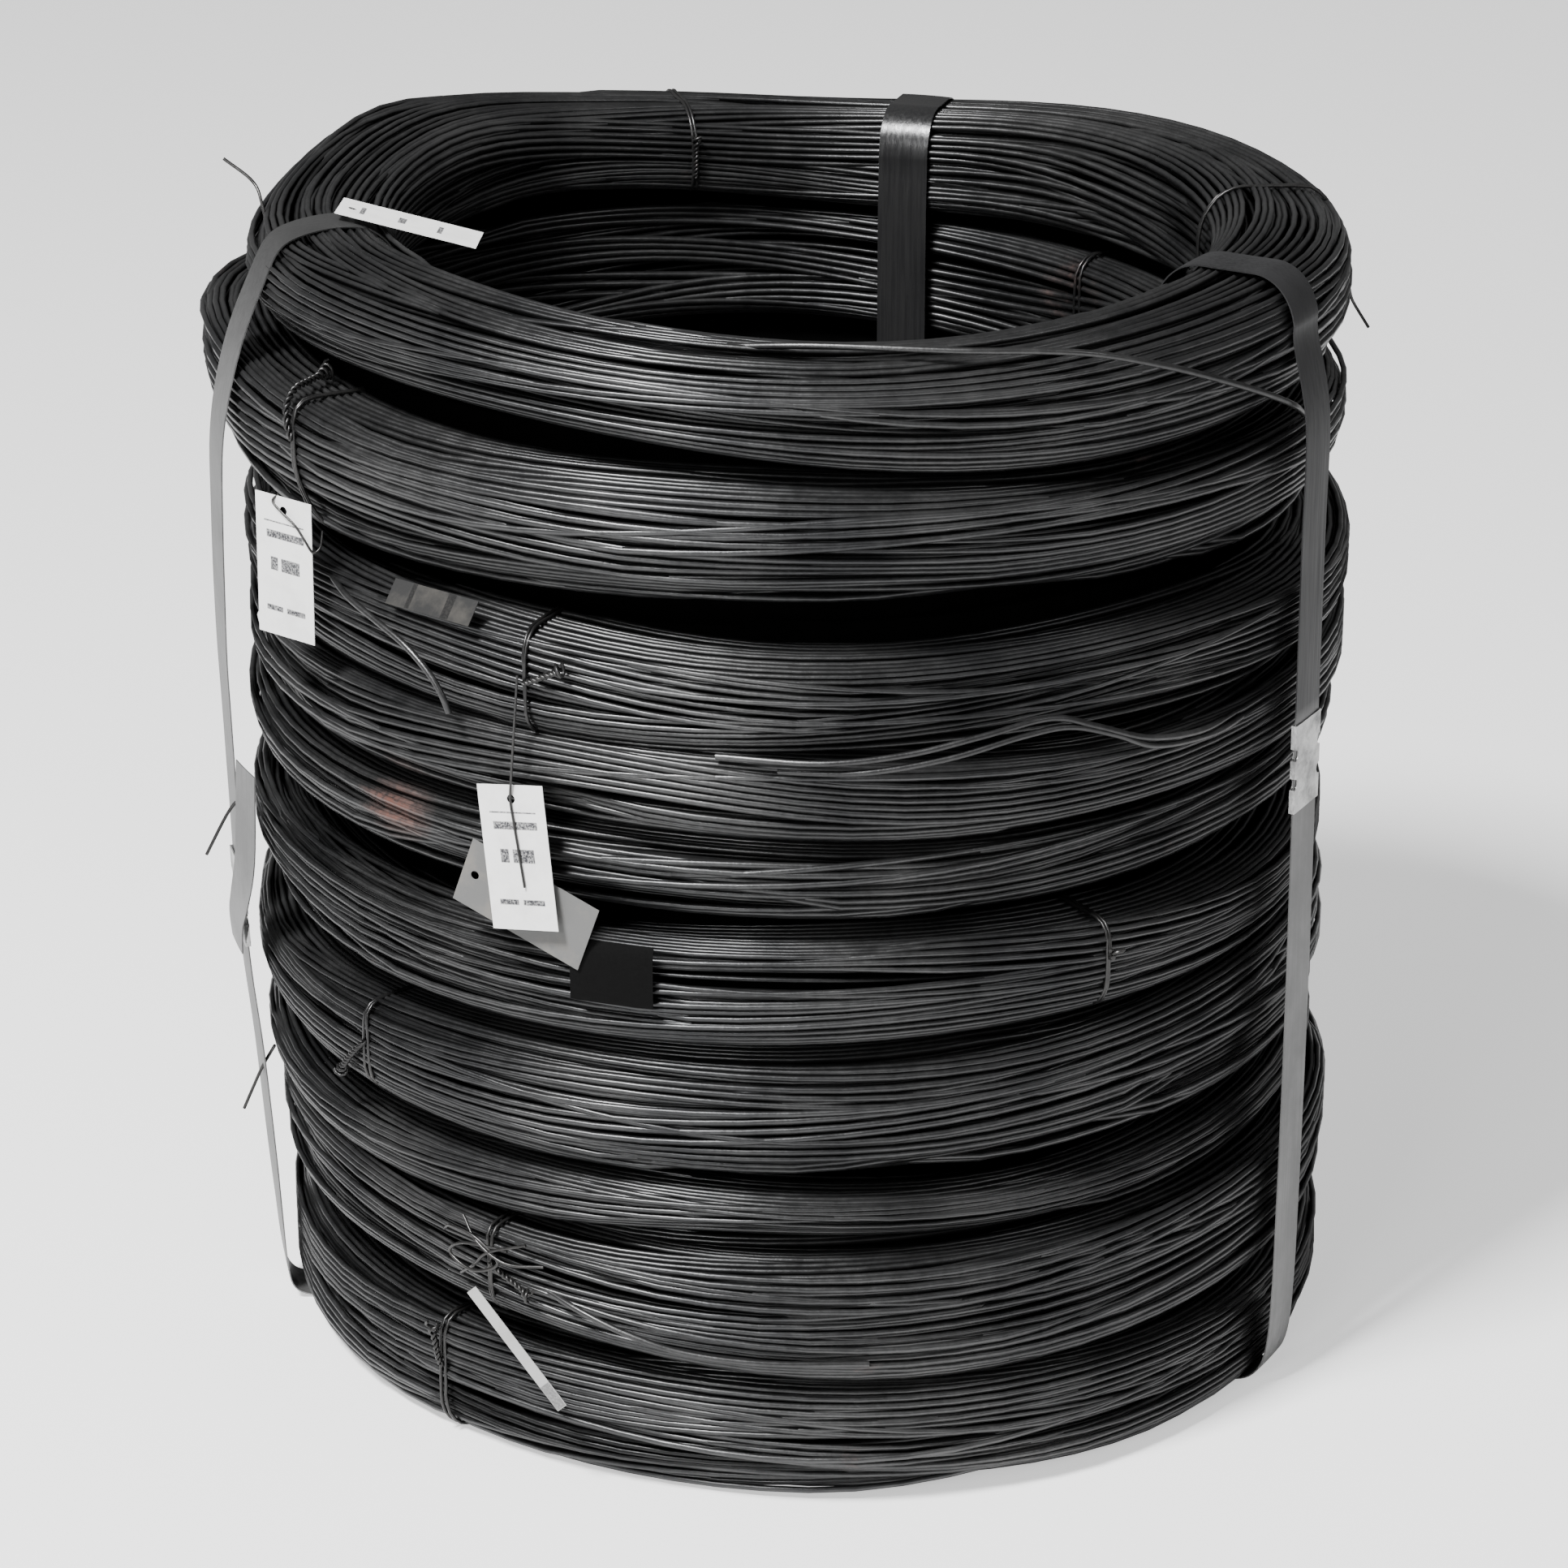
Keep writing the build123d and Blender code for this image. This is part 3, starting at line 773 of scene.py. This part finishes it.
# Each tag's paper, its bars, their ink, and how dirty it is.
tag_papers = {
    "tag_left": ((0.8, 0.8, 0.79), label_bars, grey_ink, 0.25),
    "tag_front": ((0.84, 0.84, 0.83), label_bars, grey_ink, 0.25),
    "tag_under": ((0.13, 0.13, 0.128), [], grey_ink, 0.7),
    "tag_bore": ((0.8, 0.8, 0.79), strip_bars, grey_ink, 0.3),
    "tag_groove": (grey(0.016), groove_bars, grey(0.004), 0.2),
    "tag_low": ((0.42, 0.42, 0.415), tail_bar, grey(0.16), 0.5),
}
for tag, looks in tag_papers.items():
    refinish(tag, paper_finish(tag, *looks))
refinish("tag_front_wire", tie_wire)
left_middle, left_rows, left_size = card_axes("tag_left")


def on_left_tag(across, along, off):
    """A point by the left tag: shares of its width and height, and a distance off its face."""
    offset = np.array([across * left_size[0], along * left_size[1], off * MM]) @ left_rows
    return Vector(left_middle) + Vector(offset.tolist())


tag_wire_r = 0.7 * MM
left_wire_spots = [
    (-0.1, 0.51, -1), (-0.16, 0.46, 1.5), (0.0, 0.405, 2), (0.25, 0.33, 2), (0.42, 0.24, 2), (0.53, 0.17, 1),
    (0.58, 0.2, -3), (0.56, 0.3, -6),
]
left_wire_run = smoothed([on_left_tag(*spot) for spot in left_wire_spots])
left_wire = tube("tag_left_wire", [left_wire_run], tag_wire_r, tie_wire)

# ------------------------------------------------------------------ dark patch
# A near-black patch lies over a few turns of the sixth coil.
dark_patch = Finish("near_black_patch")
fine_speckle = dark_patch.noise(700.0, 2.0)
dark_patch.set(Base_Color=dark_patch.mix(fine_speckle, grey(0.0015), grey(0.005)), Roughness=0.8, Specular_IOR_Level=0.06)
dark_patch.relief(0.4, 0.0006, dark_patch.noise(60.0, 4.0))
refinish("tape_patch", dark_patch.material)

# ------------------------------------------------------------------ loose turns and ends
# A few turns have sprung off their coils, and cut ends of wire stick out of the sides. They
# are the same black wire, bent by handling.


def sprung(coil, points):
    """A wire that follows points given as azimuth, height and how far it stands off a coil's side."""
    lay = lays[coil]
    knots = []
    for azimuth, height, off in points:
        a, reach = radians(azimuth), lay.outer + off * MM
        knots.append(Vector((lay.centre[0] + reach * cos(a), lay.centre[1] + reach * sin(a), height * MM)))
    return smoothed(knots)


def free(*points):
    """A wire through points given in millimetres."""
    return smoothed([Vector(p) * MM for p in points])


sprung_turns = [
    sprung(1, [
        (262, 686, -46), (272, 691, -33), (285, 691, -14), (293, 689, -5), (299, 684, 0), (306, 672, 3),
        (312, 659, 3), (320, 640, 2), (327, 622, 0), (333, 606, -8),
    ]),
    sprung(3, [
        (262, 470, -10), (272, 471, 0), (280, 475, 2), (287, 482, 3), (294, 487, 3), (299, 477, 3),
        (305, 463, 3), (312, 457, 2), (320, 452, -10),
    ]),
    sprung(3, [
        (268, 462, -10), (276, 465, 0), (284, 471, 2), (291, 479, 3), (296, 480, 3), (301, 470, 3),
        (306, 457, 3), (314, 452, 1), (322, 448, -10),
    ]),
    sprung(3, [
        (216, 528, -8), (221, 524, -1), (226, 518, 2), (230, 511, 4), (233, 500, 5), (234.6, 489, 5),
        (235.2, 478, 3),
    ]),
    sprung(9, [(243, 128, -4), (247, 124, 2), (252, 116, 4), (258, 108, 3), (266, 104, 1), (276, 101, -3)]),
]
stray = tube("loose_turns", sprung_turns, wire_r, bent_wire, sides=8)

# Short cut ends stick out at the sides, and three are left tangled at the ninth coil's tie.
end_r = 1.0 * MM
short_ends = [
    free((-300, -20, 660), (-306, -14, 690), (-312, -6, 702), (-329, 0, 714)),
    free((318, -60, 652), (324, -40, 648), (328, -30, 637), (338, -30, 621)),
    free((-318, -80, 352), (-328, -66, 340), (-338, -60, 326), (-352, -60, 299)),
    free((-315, -70, 176), (-324, -62, 158), (-331, -60, 142), (-337, -60, 128)),
    sprung(9, [
        (230, 148, -3), (232, 156, 3), (235.5, 155, 5), (238, 143, 5), (235, 134, 6), (232, 140, 5),
        (234, 150, 6), (239, 152, 4),
    ]),
    sprung(9, [(233, 163, -1), (235.5, 153, 5), (239, 145, 6), (243, 147, 2)]),
    sprung(9, [(232.5, 125, -1), (235, 137, 4), (237, 149, 6), (241, 158, 2)]),
]
ends = tube("cut_ends", short_ends, end_r, tie_wire)

# ------------------------------------------------------------------ floor, light and camera
# The stack stands on a plain pale floor under soft light that comes mostly from the upper left.
floor_finish = Finish("pale_floor")
floor_finish.set(Base_Color=(0.86, 0.86, 0.86, 1), Roughness=0.9, Emission_Color=(1, 1, 1, 1))
seen = floor_finish.add("ShaderNodeLightPath").outputs["Is Camera Ray"]
floor_finish.set(Emission_Strength=floor_finish.sums("MULTIPLY", seen, 0.75))
ground = bmesh.new()
bmesh.ops.create_grid(ground, x_segments=1, y_segments=1, size=14.0)
floor_mesh = bpy.data.meshes.new("floor")
ground.to_mesh(floor_mesh)
ground.free()
floor = bpy.data.objects.new("floor", floor_mesh)
floor_mesh.materials.append(floor_finish.material)
bpy.context.scene.collection.objects.link(floor)


def softbox(name, place, aim, size, power):
    lamp = bpy.data.lights.new(name, "AREA")
    lamp.shape = "RECTANGLE"
    lamp.size, lamp.size_y = size
    lamp.energy = power
    lamp_object = bpy.data.objects.new(name, lamp)
    lamp_object.location = place
    lamp_object.rotation_euler = (Vector(aim) - Vector(place)).to_track_quat("-Z", "Y").to_euler()
    bpy.context.scene.collection.objects.link(lamp_object)


softbox("key_light", (-1.7, -1.9, 4.0), (0, 0, 0.4), (0.9, 0.9), 520)
softbox("front_light", (-1.4, -3.4, 1.9), (0, 0, 0.3), (1.0, 0.6), 45)
softbox("fill_light", (2.8, -1.8, 2.6), (0, 0, 0.3), (1.0, 1.0), 16)

world = bpy.data.worlds.new("studio")
world.use_nodes = True
world.node_tree.nodes["Background"].inputs["Color"].default_value = (1, 1, 1, 1)
world.node_tree.nodes["Background"].inputs["Strength"].default_value = 0.16
bpy.context.scene.world = world

camera_data = bpy.data.cameras.new("camera")
camera_data.lens = 104.5
camera_data.sensor_width = 36
camera = bpy.data.objects.new("camera", camera_data)
camera.location = (-0.003, -2.585, 1.391)
camera.rotation_euler = (radians(67.5), 0, 0)
bpy.context.scene.collection.objects.link(camera)
bpy.context.scene.camera = camera
